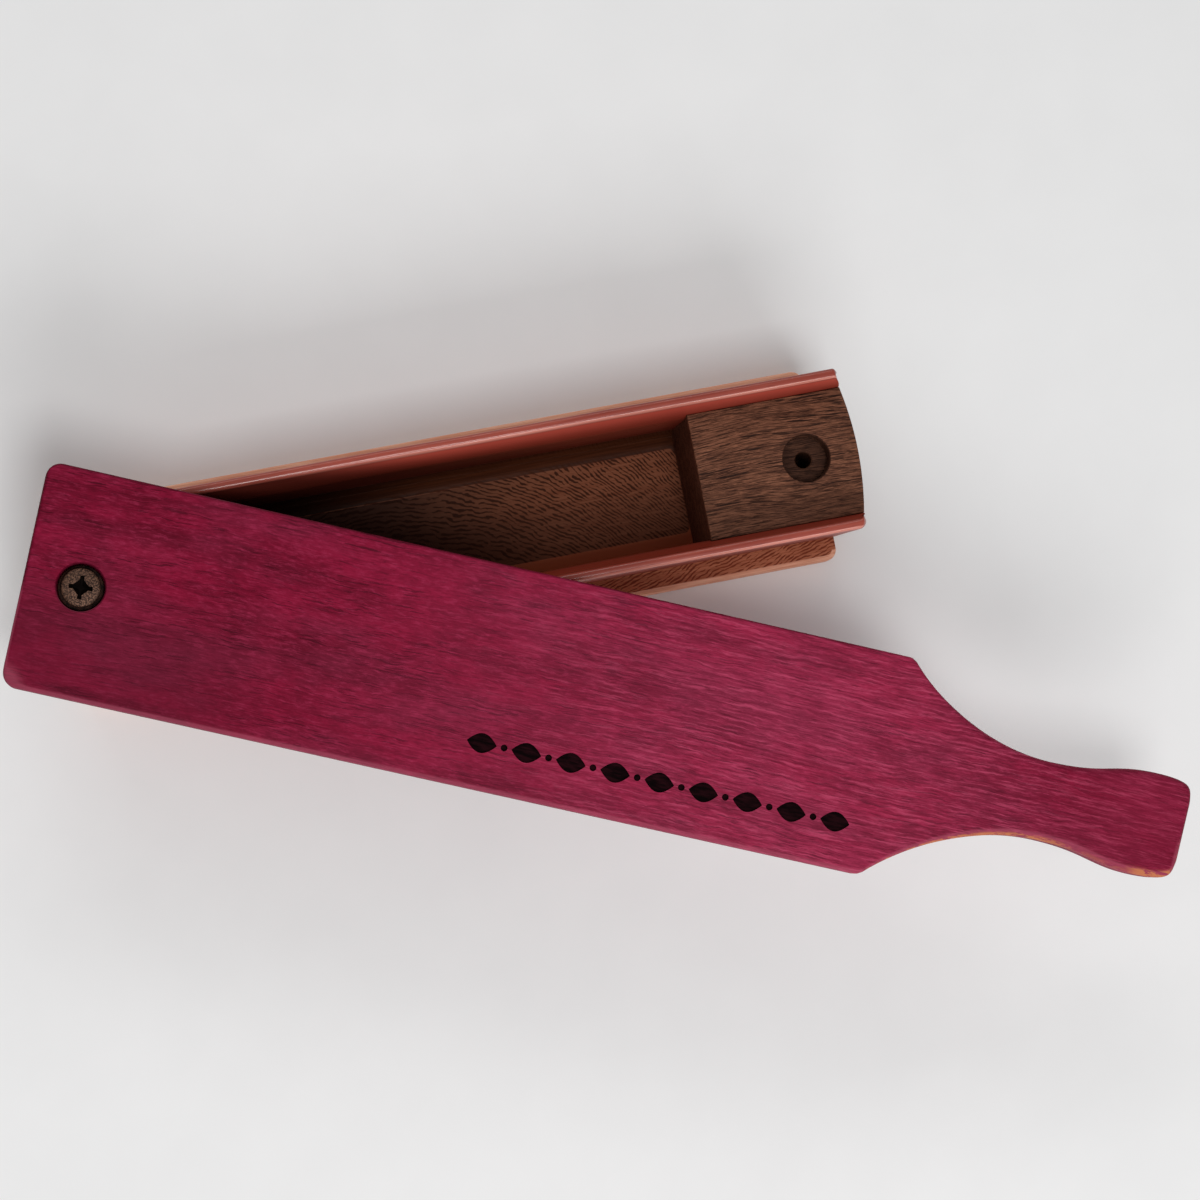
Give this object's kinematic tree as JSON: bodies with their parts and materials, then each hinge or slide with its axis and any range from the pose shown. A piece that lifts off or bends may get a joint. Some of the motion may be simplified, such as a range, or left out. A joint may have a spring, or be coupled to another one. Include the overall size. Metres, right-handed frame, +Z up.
{
  "type": "turkey box call",
  "caption": "Narrow open-topped wooden sound box on a flanged base, with a long waisted paddle that swings on one countersunk pivot screw.",
  "frame": {"origin": "on the underside of the base board, straight below the pivot screw", "axes": "+X along the sound box from the pivot screw to its free end, +Z up from the base board to the lips, +Y to the side away from the open paddle"},
  "size_m": [0.2413, 0.129, 0.0475],
  "materials": {
    "flecked_wood": "satin",
    "coral_wood": "gloss",
    "walnut": "satin",
    "purple_wood": "satin",
    "aged_brass": "antique",
    "dark_steel": "dark",
    "spring_steel": "plain"
  },
  "bodies": {
    "sound_box": {"base_board": "flecked_wood", "far_side_board": "coral_wood", "near_side_board": "coral_wood", "pivot_end_block": "walnut", "free_end_block": "walnut", "pivot_screw": "aged_brass", "pivot_spring": "spring_steel"},
    "washer": {"screw_washer": "dark_steel"},
    "paddle": {"paddle": "purple_wood"}
  },
  "joints": [
    {"name": "paddle_swing", "type": "hinge", "parent": "sound_box", "child": "washer", "pos_m": [0, 0, 0.0438], "axis": [0, 0, 1], "continuous": true},
    {"name": "paddle_lift", "type": "hinge", "parent": "washer", "child": "paddle", "pos_m": [0, 0, 0.0433], "axis": [-0.3987, -0.9171, 0], "range_deg": [0, 3]}
  ]
}
